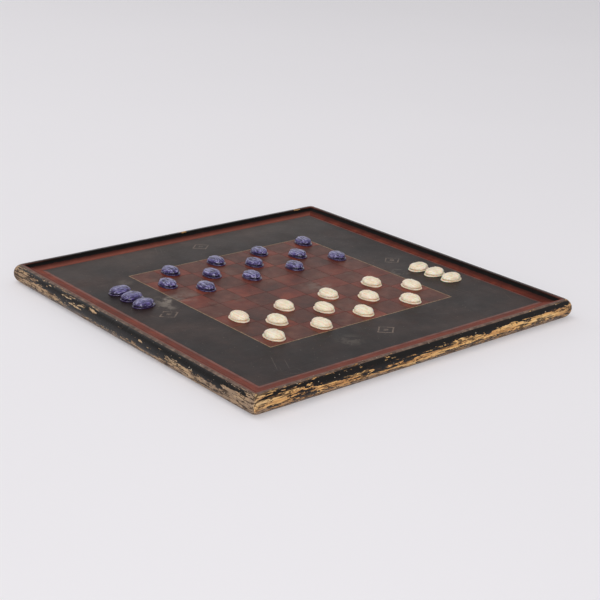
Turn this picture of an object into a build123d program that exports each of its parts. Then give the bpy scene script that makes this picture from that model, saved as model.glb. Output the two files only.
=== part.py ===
"""A painted wooden draughts board with a raised moulded rim, set out with thirty loose beetle pieces.

The board lies in the XY plane and +Z is up. The origin is the centre of its underside. Row 0 of the
squares is on the +Y side and column 0 on the -X side. All sizes are in millimetres.
"""

import os

from build123d import *

# ---- driving dimensions: the board -------------------------------------------------------------
board_side = 533.4  # 21 inches over the rounded rim
board_height = 25.0
square_side = 38.1  # 1 1/2 inch squares
squares_per_side = 8

field_level = 18.0  # height of the playing surface
panel_thickness = 14.0
panel_half = 237.6  # from the centre to the quirk where the moulding starts

# ---- driving dimensions: the rim moulding ------------------------------------------------------
nose_depth = 8.5  # the rounded outer face is half an ellipse, this deep and board_height tall
quirk_height = 0.3  # small step from the panel up to the moulding
cove_top = (249.2, 21.3)  # where the gentle red slope meets the steep black wall
wall_top = (254.4, 24.7)  # where the black wall meets the crest
cove_sag = 0.5
wall_sag = 0.6
foot_bevel = 1.0  # on the inner bottom edge
corner_radius = 10.4  # to which the four outer corners are worn, in plan
corner_margin = 1.0  # the rounding is drawn this far outside the straight sides

# ---- driving dimensions: the joinery -----------------------------------------------------------
tongue_thickness = 5.0
tongue_length = 8.0  # how far the panel's edge tongue enters the rim
groove_relief = 0.5  # air left at the bottom of every groove
spline_depth = 6.0  # how far the loose spline enters each plank
spline_setback = 6.0  # from the panel's shoulder to the end of a spline
plank_seam = 2 * square_side  # the seams lie under painted lines, this far from the centre
key_side = 12.0  # square plywood-like key across each mitre
key_thickness = 2.5
key_base = 4.0
key_centre = 251.5

brad_diameter = 1.4
brad_head_diameter = 2.6
brad_head_height = 0.7
brad_length = 15.0
brad_recess = 0.4
brad_line = 242.5  # distance of the brads from the board's centre lines
brad_spacing = 120.0
brads_per_side = 4
brad_clearance = 0.02

scribe_width = 0.5
scribe_depth = 0.25

# ---- driving dimensions: a playing piece -------------------------------------------------------
beetle_length = 31.5
beetle_width = 22.0
beetle_height = 10.0
base_height = 2.6
waist_top = 4.0
base_edge = 0.6
waist_side_inset = 1.7  # how far the groove round the side cuts in along the flanks
waist_end_inset = 4.2  # and under the head and the tail
back_inset = 0.6  # how far the back stands in from the base plate
back_drop = 1.4  # depth of the back's centre below the board, so that its sides start steep
neck_offset = 8.6  # from the middle of the beetle to the groove behind its head
neck_width = 1.0
neck_radius = 8.8  # of the back's round section at the bottom of that groove

# How the pieces were set down: row, then for each piece its column, the distance it stands off the
# middle of its square along X and Y, and its turn in degrees away from facing the other player.
indigo_rows = {
    0: ((1, -4, -1, 1), (3, -4, -2, 2), (5, -4, -2, -4), (7, 3, -1, -5)),
    1: ((0, 2, -3, 2), (2, -2, -3, 4), (4, -2, 1, 0), (6, -3, -3, 3)),
    2: ((1, -1, -3, 3), (3, 0, -2, 5), (5, -2, -3, 0), (7, 0, -3, -3)),
}
cream_rows = {
    5: ((0, 6, -1, 2), (2, 1, -2, 3), (4, 0, -1, 5), (6, 3, 1, 8)),
    6: ((1, 0, 2, 12), (3, 0, 1, 6), (5, 1, 1, 9), (7, 2, 0, 7)),
    7: ((0, 3, 2, 10), (2, -1, -1, 9), (4, -4, 2, 3), (6, 1, 0, 12)),
}
indigo_spares = ((-198, 103, 86), (-198, 75.5, 84), (-199, 47, 88))
cream_spares = ((195.5, -48, 83), (199, -76, 82), (202.5, -104.5, 84))

# ---- derived sizes -----------------------------------------------------------------------------
board_half = board_side / 2
crest_edge = board_half - nose_depth
panel_base = field_level - panel_thickness
tongue_base = panel_base + (panel_thickness - tongue_thickness) / 2
tongue_top = tongue_base + tongue_thickness
panel_full_half = panel_half + tongue_length
grid_half = square_side * squares_per_side / 2
spline_half_length = panel_half - spline_setback

os.makedirs("parts", exist_ok=True)


def save(part, name):
    """Label one finished piece and write it as its own STEP file."""
    part.label = name
    export_step(part, f"parts/{name}.step")


# ---- rim mouldings -----------------------------------------------------------------------------
# One side is drawn along the +X edge and then turned. Its section starts at the quirk, rises over
# the red slope and the black wall to the crest, and comes down round the outer nose.


def make_rim_side(turn):
    """One mitred moulding: the +X side, turned about the board's centre."""
    with BuildPart() as straight:
        with BuildSketch(Plane.XZ) as section:
            with BuildLine():
                quirk = (panel_half, field_level + quirk_height)
                SagittaArc(quirk, cove_top, -cove_sag)
                SagittaArc(cove_top, wall_top, -wall_sag)
                Spline(wall_top, (crest_edge, board_height), tangents=((1, 0.35), (1, 0)))
                EllipticalCenterArc(
                    (crest_edge, board_height / 2),
                    nose_depth,
                    board_height / 2,
                    start_angle=-90,
                    arc_size=180,
                )
                Polyline(
                    (crest_edge, 0),
                    (panel_half + foot_bevel, 0),
                    (panel_half, foot_bevel),
                    (panel_half, tongue_base),
                    (panel_full_half + groove_relief, tongue_base),
                    (panel_full_half + groove_relief, tongue_top),
                    (panel_half, tongue_top),
                    quirk,
                )
            make_face()
        extrude(amount=board_half, both=True)

        # both ends are cut to a 45 degree mitre
        with BuildSketch(Plane.XY):
            with BuildLine():
                Polyline((0, 0), (board_half, board_half), (board_half, -board_half), (0, 0))
            make_face()
        extrude(amount=board_height, mode=Mode.INTERSECT)

        # the outer corners are worn round
        with BuildSketch(Plane.XY):
            round_side = board_side + 2 * corner_margin
            RectangleRounded(round_side, round_side, corner_radius)
        extrude(amount=board_height, mode=Mode.INTERSECT)

        # a slot in each mitre takes half of the corner key
        with BuildSketch(Plane.XY.offset(key_base)):
            with Locations((key_centre, key_centre), (key_centre, -key_centre)):
                Rectangle(key_side, key_side, rotation=45)
        extrude(amount=key_thickness, mode=Mode.SUBTRACT)

        # brads come up from the underside, through the panel's tongue
        with BuildSketch(Plane.XY):
            with Locations((brad_line, 0)):
                with GridLocations(0, brad_spacing, 1, brads_per_side):
                    Circle(brad_diameter / 2 + brad_clearance)
        extrude(amount=brad_recess + brad_length, mode=Mode.SUBTRACT)
        with BuildSketch(Plane.XY):
            with Locations((brad_line, 0)):
                with GridLocations(0, brad_spacing, 1, brads_per_side):
                    Circle(brad_head_diameter / 2 + brad_clearance)
        extrude(amount=brad_recess + brad_head_height, mode=Mode.SUBTRACT)

    with BuildPart() as side:
        with Locations(Location((0, 0, 0), (0, 0, turn))):
            add(straight.part)
    return side.part


rim_turns = {"rim_right_back": 0, "rim_left_back": 90, "rim_left_front": 180, "rim_right_front": 270}
for name, turn in rim_turns.items():
    save(make_rim_side(turn), name)

# ---- corner keys -------------------------------------------------------------------------------
corner_turns = {"key_back": 45, "key_left": 135, "key_front": 225, "key_right": 315}
for name, turn in corner_turns.items():
    with BuildPart() as key:
        with BuildSketch(Plane.XY.offset(key_base)):
            with PolarLocations(key_centre * 2**0.5, 1, start_angle=turn):
                Rectangle(key_side, key_side)
        extrude(amount=key_thickness)
    save(key.part, name)

# ---- brads -------------------------------------------------------------------------------------
with BuildPart() as rim_brads:
    for turn in rim_turns.values():
        with BuildSketch(Plane.XY.offset(brad_recess).rotated((0, 0, turn))):
            with Locations((brad_line, 0)):
                with GridLocations(0, brad_spacing, 1, brads_per_side):
                    Circle(brad_diameter / 2)
        extrude(amount=brad_length - brad_clearance)
        with BuildSketch(Plane.XY.offset(brad_recess).rotated((0, 0, turn))):
            with Locations((brad_line, 0)):
                with GridLocations(0, brad_spacing, 1, brads_per_side):
                    Circle(brad_head_diameter / 2)
        extrude(amount=brad_head_height - brad_clearance)
save(rim_brads.part, "rim_brads")

# ---- panel planks ------------------------------------------------------------------------------
# Three planks run along X. Together they carry a tongue round all four edges, and the painter's
# scribed lines: nine each way, edging the squares.


def make_plank(low, high):
    """The plank between two seams, or between a seam and the panel's edge."""
    with BuildPart() as plank:
        with BuildSketch(Plane.XY.offset(panel_base)):
            Rectangle(2 * panel_half, 2 * panel_half)
        extrude(amount=panel_thickness)
        with BuildSketch(Plane.XY.offset(tongue_base)):
            Rectangle(2 * panel_full_half, 2 * panel_full_half)
        extrude(amount=tongue_thickness)

        with BuildSketch(Plane.XY.offset(field_level - scribe_depth)):
            line_length = 2 * grid_half + scribe_width
            with GridLocations(square_side, 0, squares_per_side + 1, 1):
                Rectangle(scribe_width, line_length)
            with GridLocations(0, square_side, 1, squares_per_side + 1):
                Rectangle(line_length, scribe_width)
        extrude(amount=scribe_depth, mode=Mode.SUBTRACT)

        with BuildSketch(Plane.XY):
            for turn in rim_turns.values():
                with Locations(Location((0, 0, 0), (0, 0, turn)) * Location((brad_line, 0, 0))):
                    with GridLocations(0, brad_spacing, 1, brads_per_side):
                        Circle(brad_diameter / 2 + brad_clearance)
        extrude(amount=field_level, mode=Mode.SUBTRACT)

        with BuildSketch(Plane.XY):
            with Locations((0, (low + high) / 2)):
                Rectangle(2 * panel_full_half, high - low)
        extrude(amount=board_height, mode=Mode.INTERSECT)

        # grooves for the loose splines, along the seams only
        with BuildSketch(Plane.XY.offset(tongue_base)):
            with Locations((0, plank_seam), (0, -plank_seam)):
                Rectangle(2 * (spline_half_length + groove_relief), 2 * spline_depth)
        extrude(amount=tongue_thickness, mode=Mode.SUBTRACT)
    return plank.part


save(make_plank(plank_seam, panel_full_half), "plank_back")
save(make_plank(-plank_seam, plank_seam), "plank_middle")
save(make_plank(-panel_full_half, -plank_seam), "plank_front")

# ---- loose splines between the planks ----------------------------------------------------------
for name, seam in {"spline_back": plank_seam, "spline_front": -plank_seam}.items():
    with BuildPart() as spline:
        with BuildSketch(Plane.XY.offset(tongue_base)):
            with Locations((0, seam)):
                Rectangle(2 * spline_half_length, 2 * (spline_depth - groove_relief))
        extrude(amount=tongue_thickness)
    save(spline.part, name)

# ---- playing pieces ----------------------------------------------------------------------------
# A beetle on an oval base plate: a groove runs round its side, and its back is the top of an
# ellipsoid. Its head points along +X and the middle of its underside is at the origin.

with BuildPart() as back:
    with BuildSketch(Plane.XZ):
        with Locations((0, -back_drop)):
            Ellipse(beetle_length / 2 + back_inset, beetle_height + back_drop)
            Rectangle(
                2 * beetle_length,
                2 * beetle_height,
                align=(Align.CENTER, Align.MAX),
                mode=Mode.SUBTRACT,
            )
    revolve(axis=Axis((0, 0, -back_drop), (1, 0, 0)))
    with BuildSketch(Plane.XY.offset(waist_top)):
        Rectangle(2 * beetle_length, 2 * beetle_width)
    extrude(amount=beetle_height, mode=Mode.INTERSECT)

    # the groove behind the head
    with BuildSketch(Plane.YZ.offset(neck_offset)):
        with Locations((0, -back_drop)):
            Circle(2 * beetle_height)
            Circle(neck_radius, mode=Mode.SUBTRACT)
    extrude(amount=neck_width, mode=Mode.SUBTRACT)

with BuildPart() as beetle:
    with BuildSketch():
        Ellipse(beetle_length / 2, beetle_width / 2)
    extrude(amount=base_height)
    chamfer(beetle.edges().filter_by(GeomType.ELLIPSE), base_edge)
    with BuildSketch(Plane.XY.offset(base_height)):
        Ellipse(beetle_length / 2 - waist_end_inset, beetle_width / 2 - waist_side_inset)
    extrude(amount=waist_top - base_height)
    add(back.part)


def set_down(name, x, y, turn):
    """One piece standing on the playing surface, its head turned by the given angle from +X."""
    with BuildPart() as piece:
        with Locations(Location((x, y, field_level), (0, 0, turn))):
            add(beetle.part)
    save(piece.part, name)


def set_out(colour, rows, facing, spares):
    """Twelve pieces on their squares, then the three spares beside them."""
    number = 1
    middle = (squares_per_side - 1) / 2
    for row, places in rows.items():
        for column, off_x, off_y, turn in places:
            x = (column - middle) * square_side + off_x
            y = (middle - row) * square_side + off_y
            set_down(f"{colour}_beetle_{number:02d}", x, y, facing + turn)
            number += 1
    for x, y, turn in spares:
        set_down(f"{colour}_beetle_{number:02d}", x, y, turn - 90)
        number += 1


set_out("indigo", indigo_rows, -90, indigo_spares)
set_out("cream", cream_rows, 90, cream_spares)
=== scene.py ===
"""Looks of the painted draughts board: worn paint over old wood, and glazed beetle pieces.

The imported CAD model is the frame. Every length is in metres, in the row's own frame: +Z is up, the
origin is the middle of the board's underside, row 0 of the squares is at +Y and column 0 at -X.
"""

import math

import bpy
import numpy as np
from mathutils import Matrix, Vector


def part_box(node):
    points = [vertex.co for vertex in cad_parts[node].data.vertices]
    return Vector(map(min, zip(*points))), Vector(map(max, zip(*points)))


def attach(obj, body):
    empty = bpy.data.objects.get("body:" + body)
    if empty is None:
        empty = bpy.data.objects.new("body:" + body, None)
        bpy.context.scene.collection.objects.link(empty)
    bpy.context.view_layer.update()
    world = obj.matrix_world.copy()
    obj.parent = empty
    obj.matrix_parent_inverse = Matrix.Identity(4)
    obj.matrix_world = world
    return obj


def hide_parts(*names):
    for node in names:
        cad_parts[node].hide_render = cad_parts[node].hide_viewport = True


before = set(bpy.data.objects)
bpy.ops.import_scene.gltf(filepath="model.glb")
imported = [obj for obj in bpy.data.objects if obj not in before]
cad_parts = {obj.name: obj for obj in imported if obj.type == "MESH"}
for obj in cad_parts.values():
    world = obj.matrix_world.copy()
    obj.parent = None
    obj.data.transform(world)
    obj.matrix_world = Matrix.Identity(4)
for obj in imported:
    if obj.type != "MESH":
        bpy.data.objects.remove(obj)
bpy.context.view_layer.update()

MM = 0.001

# ---- sizes taken from the frame ----
board_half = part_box("rim_right_back")[1].x
board_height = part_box("rim_right_back")[1].z
panel_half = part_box("rim_right_back")[0].x
field_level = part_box("plank_middle")[1].z
panel_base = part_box("plank_middle")[0].z
tongue_height = 5 * MM
groove_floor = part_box("plank_middle")[1].x + 0.5 * MM
tongue_base = (field_level + panel_base) / 2 - tongue_height / 2
tongue_top = tongue_base + tongue_height

# ---- sizes of the painted design ----
square_side = 38.1 * MM
grid_half = 4 * square_side
red_edge = 233.1 * MM  # where the red band begins, from the board's centre
emblem_reach = 12.0 * MM  # of a lozenge in the margin, from its middle to its tips along Y
emblem_centres = ((2, 203), (-1, -190), (-190, 4), (192, 2))  # mm, of the lozenges

# Pale smears on the black: where, how far each reaches (all mm), and how strong it is.
smears = (
    (-164, 46, 24, 0.95),
    (-176, 27, 17, 0.7),
    (-138, 45, 30, 0.4),
    (34, -22, 34, 0.35),
    (-171, 134, 16, 0.3),
    (166, -42, 18, 0.6),
    (150, -224, 6, 0.5),
    (-60, -190, 26, 0.25),
)

# ---- the rim moulding's section, as in the CAD ----
nose_depth = 8.5 * MM
nose_radius = (nose_depth + board_height / 2) / 2  # roughly, of the outer face's curve
crest_edge = board_half - nose_depth
quirk_top = field_level + 0.3 * MM
cove_top = Vector((249.2, 21.3)) * MM
wall_top = Vector((254.4, 24.7)) * MM


# ---- small tools ----


def srgb(red, green, blue):
    """A colour given as it looks on screen, 0 to 255, as the linear values that Blender mixes."""

    def linear(value):
        value /= 255
        return value / 12.92 if value <= 0.04045 else ((value + 0.055) / 1.055) ** 2.4

    return (linear(red), linear(green), linear(blue), 1.0)


def smooth(values, low, high):
    """0 below low, 1 above high, with an even curve between them."""
    t = np.clip((values - low) / (high - low), 0.0, 1.0)
    return t * t * (3.0 - 2.0 * t)


def bump_at(values, centre, width):
    """A bell of height 1 about the centre."""
    return np.exp(-(((values - centre) / width) ** 2))


class Noise:
    """Smooth value noise from a seeded table, for many points at once. Its values run 0 to 1."""

    size = 64

    def __init__(self, seed):
        self.table = np.random.default_rng(seed).random((self.size,) * 3)

    def one(self, points):
        """The noise once, with cells one unit wide."""
        cell = np.floor(points).astype(int)
        part = points - cell
        part = part * part * (3.0 - 2.0 * part)
        total = np.zeros(len(points))
        for corner in range(8):
            step = np.array([corner & 1, (corner >> 1) & 1, corner >> 2])
            weight = np.where(step, part, 1.0 - part).prod(axis=1)
            index = (cell + step) % self.size
            total += weight * self.table[index[:, 0], index[:, 1], index[:, 2]]
        return total

    def fractal(self, points, octaves=3):
        """The noise with finer and weaker copies of itself laid over it."""
        total = np.zeros(len(points))
        strength = 1.0
        whole = 0.0
        for octave in range(octaves):
            total += strength * self.one(points * 2.03**octave + 7.7 * octave)
            whole += strength
            strength *= 0.5
        return total / whole


def set_attribute(mesh, name, values):
    """Gives each of the mesh's points a number that its material can read."""
    layer = mesh.attributes.new(name, "FLOAT", "POINT")
    layer.data.foreach_set("value", np.asarray(values, np.float32))


def new_object(name, vertices, faces, attributes=None, sharp_degrees=None):
    """A smooth-shaded mesh object at the origin, with float attributes on its points."""
    mesh = bpy.data.meshes.new(name)
    mesh.from_pydata([tuple(v) for v in vertices], [], faces)
    mesh.validate()
    for key, values in (attributes or {}).items():
        set_attribute(mesh, key, values)
    mesh.shade_smooth()
    if sharp_degrees is not None:
        mesh.set_sharp_from_angle(angle=math.radians(sharp_degrees))
    made = bpy.data.objects.new(name, mesh)
    bpy.context.scene.collection.objects.link(made)
    return made


def vectors_of(items, key):
    """One vector of each item of a mesh, as the rows of an array."""
    flat = np.zeros(len(items) * 3, np.float32)
    items.foreach_get(key, flat)
    return flat.reshape(-1, 3).astype(float)


def points_of(mesh):
    """The places of a mesh's points."""
    return vectors_of(mesh.vertices, "co")


def dress(piece, material):
    """Gives an object its one finished material."""
    piece.data.materials.clear()
    piece.data.materials.append(material)


# ---- materials ----


class Graph:
    """One material's nodes, with short calls for the sums and textures used here."""

    def __init__(self, name):
        self.material = bpy.data.materials.new(name)
        self.material.use_nodes = True
        self.nodes = self.material.node_tree.nodes
        self.links = self.material.node_tree.links
        self.nodes.clear()
        self.place = self.nodes.new("ShaderNodeTexCoord").outputs["Object"]
        split = self.nodes.new("ShaderNodeSeparateXYZ")
        self.links.new(self.place, split.inputs[0])
        self.x, self.y, self.z = split.outputs

    def feed(self, socket, value):
        """Links a socket to the value, or sets it where the value is a plain number or colour."""
        if isinstance(value, bpy.types.NodeSocket):
            self.links.new(value, socket)
        elif value is not None:
            socket.default_value = value

    def sum(self, operation, first, second=None, third=None):
        node = self.nodes.new("ShaderNodeMath")
        node.operation = operation
        for socket, value in zip(node.inputs, (first, second, third)):
            self.feed(socket, value)
        return node.outputs[0]

    def add(self, first, second):
        return self.sum("ADD", first, second)

    def less(self, first, second):
        return self.sum("SUBTRACT", first, second)

    def times(self, first, second):
        return self.sum("MULTIPLY", first, second)

    def size_of(self, value):
        return self.sum("ABSOLUTE", value)

    def rise(self, value, low, high, top=1.0):
        """0 below low and top above high."""
        node = self.nodes.new("ShaderNodeMapRange")
        node.interpolation_type = "SMOOTHSTEP"
        self.feed(node.inputs["Value"], value)
        self.feed(node.inputs["From Min"], low)
        self.feed(node.inputs["From Max"], high)
        self.feed(node.inputs["To Max"], top)
        return node.outputs["Result"]

    def fall(self, value, low, high):
        """1 below low and 0 above high."""
        return self.less(1.0, self.rise(value, low, high))

    def vector(self, x, y, z):
        node = self.nodes.new("ShaderNodeCombineXYZ")
        for socket, value in zip(node.inputs, (x, y, z)):
            self.feed(socket, value)
        return node.outputs[0]

    def stretched(self, along_x, along_y, along_z, turn=0.0):
        """The place, scaled along each axis and turned about Z first."""
        turned = self.nodes.new("ShaderNodeVectorRotate")
        turned.rotation_type = "Z_AXIS"
        self.feed(turned.inputs["Vector"], self.place)
        turned.inputs["Angle"].default_value = math.radians(turn)
        node = self.nodes.new("ShaderNodeVectorMath")
        node.operation = "MULTIPLY"
        self.links.new(turned.outputs[0], node.inputs[0])
        node.inputs[1].default_value = (along_x, along_y, along_z)
        return node.outputs[0]

    def noise(self, scale, detail=3.0, roughness=0.55, where=None, distortion=0.0):
        node = self.nodes.new("ShaderNodeTexNoise")
        self.feed(node.inputs["Vector"], self.place if where is None else where)
        node.inputs["Scale"].default_value = scale
        node.inputs["Detail"].default_value = detail
        node.inputs["Roughness"].default_value = roughness
        node.inputs["Distortion"].default_value = distortion
        return node.outputs["Fac"]

    def attribute(self, name):
        node = self.nodes.new("ShaderNodeAttribute")
        node.attribute_name = name
        return node.outputs["Fac"]

    def mix(self, share, first, second, strength=None, blend="MIX"):
        """The first colour with a share of the second over it; plain colours are as for srgb."""
        if strength is not None:
            share = self.times(share, strength)
        node = self.nodes.new("ShaderNodeMix")
        node.data_type = "RGBA"
        node.blend_type = blend
        self.feed(node.inputs[0], share)
        for socket, colour in zip(node.inputs[6:8], (first, second)):
            self.feed(socket, srgb(*colour) if isinstance(colour, tuple) else colour)
        return node.outputs[2]

    def ramp(self, value, *stops):
        """A colour ramp from (position, red, green, blue) stops, with the colours as for srgb."""
        node = self.nodes.new("ShaderNodeValToRGB")
        elements = node.color_ramp.elements
        while len(elements) < len(stops):
            elements.new(0.5)
        for element, (position, *colour) in zip(elements, stops):
            element.position = position
            element.color = srgb(*colour)
        self.feed(node.inputs[0], value)
        return node.outputs[0]

    def brightness(self, colour, factor):
        """The colour times a factor."""
        grey = self.nodes.new("ShaderNodeCombineColor")
        for socket in grey.inputs:
            self.feed(socket, factor)
        return self.mix(1.0, colour, grey.outputs[0], blend="MULTIPLY")

    def bump(self, *layers):
        """Bumps laid one on another, each a (height, distance in metres, strength)."""
        last = None
        for height, distance, strength in layers:
            node = self.nodes.new("ShaderNodeBump")
            self.feed(node.inputs["Height"], height)
            node.inputs["Distance"].default_value = distance
            node.inputs["Strength"].default_value = strength
            if last is not None:
                self.links.new(last, node.inputs["Normal"])
            last = node.outputs[0]
        return last

    def finish(self, colour, roughness, normal, **more):
        """The finished material; more names other inputs of the shader, _ standing for a space."""
        shader = self.nodes.new("ShaderNodeBsdfPrincipled")
        self.feed(shader.inputs["Base Color"], colour)
        self.feed(shader.inputs["Roughness"], roughness)
        self.feed(shader.inputs["Normal"], normal)
        for key, value in more.items():
            self.feed(shader.inputs[key.replace("_", " ")], value)
        out = self.nodes.new("ShaderNodeOutputMaterial")
        self.links.new(shader.outputs[0], out.inputs[0])
        return self.material


# How noises are drawn out along the grain: scales along X, Y and Z for grain along X and along Y.
grain_stretch = {"x": (0.06, 1.0, 1.0), "y": (1.0, 0.06, 1.0)}
pit_stretch = {"x": (0.3, 1.0, 1.0), "y": (1.0, 0.3, 1.0)}


def old_wood(graph, along="x"):
    """Colour and height of old bare softwood, its grain along the given axis."""
    stretch = graph.stretched(*grain_stretch[along])
    broad = graph.noise(210.0, 4.0, 0.6, stretch, 0.4)
    fine = graph.noise(1500.0, 3.0, 0.6, stretch)
    wood = graph.ramp(
        broad, (0.30, 140, 88, 42), (0.44, 208, 148, 80), (0.56, 236, 184, 112),
        (0.72, 246, 214, 158),
    )
    wood = graph.brightness(wood, graph.add(0.72, graph.times(fine, 0.5)))
    return wood, graph.add(graph.times(broad, 0.6), graph.times(fine, 0.4))


def scratches(graph, turn, threshold, length=9.0, width=420.0):
    """Thin light strokes in one direction, broken up by a coarse noise."""
    strokes = graph.noise(1.0, 1.5, 0.5, graph.stretched(length, width, 1, turn), 0.2)
    patches = graph.noise(14.0, 2.0, 0.5)
    return graph.times(
        graph.rise(strokes, threshold, threshold + 0.03), graph.rise(patches, 0.5, 0.62)
    )


def red_paint(graph):
    """The old red, darker and browner where it's rubbed or dirty."""
    fine = graph.noise(420.0, 3.0, 0.6)
    red = graph.ramp(
        graph.noise(38.0, 4.0, 0.6), (0.30, 80, 34, 26), (0.52, 118, 50, 36),
        (0.70, 150, 72, 50),
    )
    return graph.brightness(red, graph.add(0.78, graph.times(fine, 0.44)))


def margin_black(g, mottle):
    """The margin's black, rubbed grey with brownish hazes, and the streaks that run through it."""
    haze = g.noise(11.0, 6.0, 0.68)
    streak = g.noise(2.2, 5.0, 0.7, g.stretched(9, 150, 1))
    black = g.ramp(
        haze, (0.32, 24, 16, 15), (0.48, 37, 26, 24), (0.60, 50, 36, 32),
        (0.74, 68, 50, 44),
    )
    light = g.add(g.times(streak, 0.7), g.times(mottle, 0.5))
    return g.brightness(black, g.add(0.42, light)), streak


def painted_squares(g, x, y):
    """Red where row plus column is odd and brown-grey elsewhere, with thin dark lines between."""
    column = g.sum("FLOOR", g.sum("DIVIDE", g.add(x, grid_half), square_side))
    row = g.sum("FLOOR", g.sum("DIVIDE", g.less(grid_half, y), square_side))
    odd = g.sum("MODULO", g.add(g.add(column, row), 16.0), 2.0)
    dark = g.ramp(
        g.noise(26.0, 6.0, 0.68), (0.32, 62, 35, 28), (0.50, 86, 46, 36),
        (0.68, 112, 68, 56),
    )
    held = g.rise(g.noise(7.0, 3.0, 0.6), 0.36, 0.6)
    squares = g.mix(g.times(odd, g.add(0.45, g.times(held, 0.5))), dark, red_paint(g))
    rubbed = g.rise(g.noise(19.0, 7.0, 0.72), 0.47, 0.64, 0.6)
    squares = g.mix(rubbed, squares, (94, 52, 42), 0.6)
    dusty = g.rise(g.noise(31.0, 6.0, 0.7), 0.54, 0.70, 0.5)
    squares = g.mix(dusty, squares, (104, 80, 70))

    half = square_side / 2
    edge_x = g.size_of(g.sum("WRAP", g.add(x, grid_half), -half, half))
    edge_y = g.size_of(g.sum("WRAP", g.add(y, grid_half), -half, half))
    seam = g.fall(g.sum("MINIMUM", edge_x, edge_y), 0.25 * MM, 0.9 * MM)
    seam = g.times(seam, g.rise(g.noise(48.0, 4.0, 0.65), 0.38, 0.6))
    return g.mix(seam, squares, (44, 29, 26), 0.14)


def gilt_marks(g, x, y, wide):
    """Where the worn line round the squares and the margins' worn lozenges are, and the gilt."""
    chips = g.noise(170.0, 3.0, 0.6)
    off_line = g.size_of(g.less(wide, grid_half + 0.2 * MM))
    line = g.times(g.fall(off_line, 0.45 * MM, 0.95 * MM), g.rise(chips, 0.24, 0.42))
    lozenge = None
    for centre_x, centre_y in emblem_centres:
        reach = g.add(
            g.times(g.size_of(g.less(x, centre_x * MM)), 0.9),
            g.size_of(g.less(y, centre_y * MM)),
        )
        lozenge = reach if lozenge is None else g.sum("MINIMUM", lozenge, reach)
    stroke = g.fall(g.size_of(g.less(lozenge, emblem_reach)), 0.9 * MM, 1.6 * MM)
    dot = g.fall(lozenge, 3.4 * MM, 4.4 * MM)
    left = g.rise(g.noise(120.0, 5.0, 0.75), 0.35, 0.56)
    emblem = g.times(g.sum("MAXIMUM", stroke, dot), left)
    gilt = g.ramp(chips, (0.3, 130, 104, 78), (0.7, 186, 158, 124))
    return line, emblem, gilt


def lay_edge_band(g, colour, x, y, wide, mottle):
    """The red band beside the rim, with a pale rubbed line along its edge on the near sides."""
    on_back = g.fall(g.less(g.size_of(x), y), -1 * MM, 1 * MM)
    on_right = g.fall(g.less(g.size_of(y), x), -1 * MM, 1 * MM)
    near = g.fall(g.add(x, y), -2 * MM, 2 * MM)

    # the band isn't painted quite evenly: it is narrower at the back and on the right
    off_edge = g.less(g.less(wide, red_edge), g.times(on_back, 3.6 * MM))
    off_edge = g.less(off_edge, g.times(on_right, 1.2 * MM))
    off_edge = g.add(off_edge, g.times(g.less(mottle, 0.5), 2.0 * MM))
    band = g.rise(off_edge, -0.4 * MM, 0.9 * MM)
    pale = g.fall(g.size_of(g.less(wide, red_edge + 1.7 * MM)), 0.5 * MM, 1.9 * MM)
    pale = g.times(g.times(pale, g.add(0.1, g.times(near, 0.75))), g.rise(mottle, 0.3, 0.55))

    # painted light and shade: the band's red is painted darker on the far sides and paler at the
    # back and on the near sides, for how the light falls on each side
    red = g.mix(g.less(1.0, near), red_paint(g), (70, 36, 30), 0.3)
    red = g.mix(on_back, red, (130, 80, 68), 0.4)
    red = g.mix(near, red, (112, 74, 64), 0.25)
    colour = g.mix(band, colour, red)
    colour = g.mix(pale, colour, (120, 92, 84), 0.6)
    # painted shade: a dark line where the panel meets the rim, for the shadow in the gap between
    # them
    joint_shade = g.rise(wide, panel_half - 0.9 * MM, panel_half - 0.1 * MM)
    return g.mix(joint_shade, colour, (60, 28, 22), 0.6)


def lay_scuffs(g, colour):
    """Scratches, specks and pale smears over the colour; the scratches are given back as well."""
    light = g.sum(
        "MAXIMUM",
        g.sum("MAXIMUM", scratches(g, 24, 0.70), scratches(g, -63, 0.715)),
        scratches(g, 80, 0.72),
    )
    colour = g.mix(light, colour, (132, 120, 112), 0.22)
    specks = g.rise(g.noise(520.0, 1.0, 0.4), 0.755, 0.79)
    colour = g.mix(specks, colour, (150, 134, 120), 0.45)
    for centre_x, centre_y, reach, strength in smears:
        spot = g.nodes.new("ShaderNodeVectorMath")
        spot.operation = "DISTANCE"
        g.links.new(g.place, spot.inputs[0])
        spot.inputs[1].default_value = (centre_x * MM, centre_y * MM, field_level)
        smear = g.fall(spot.outputs["Value"], 0.15 * reach * MM, reach * MM)
        smear = g.times(smear, g.rise(g.noise(60.0, 5.0, 0.7), 0.42, 0.58))
        colour = g.mix(g.times(smear, strength), colour, (130, 120, 110))
    return colour, light


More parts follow.
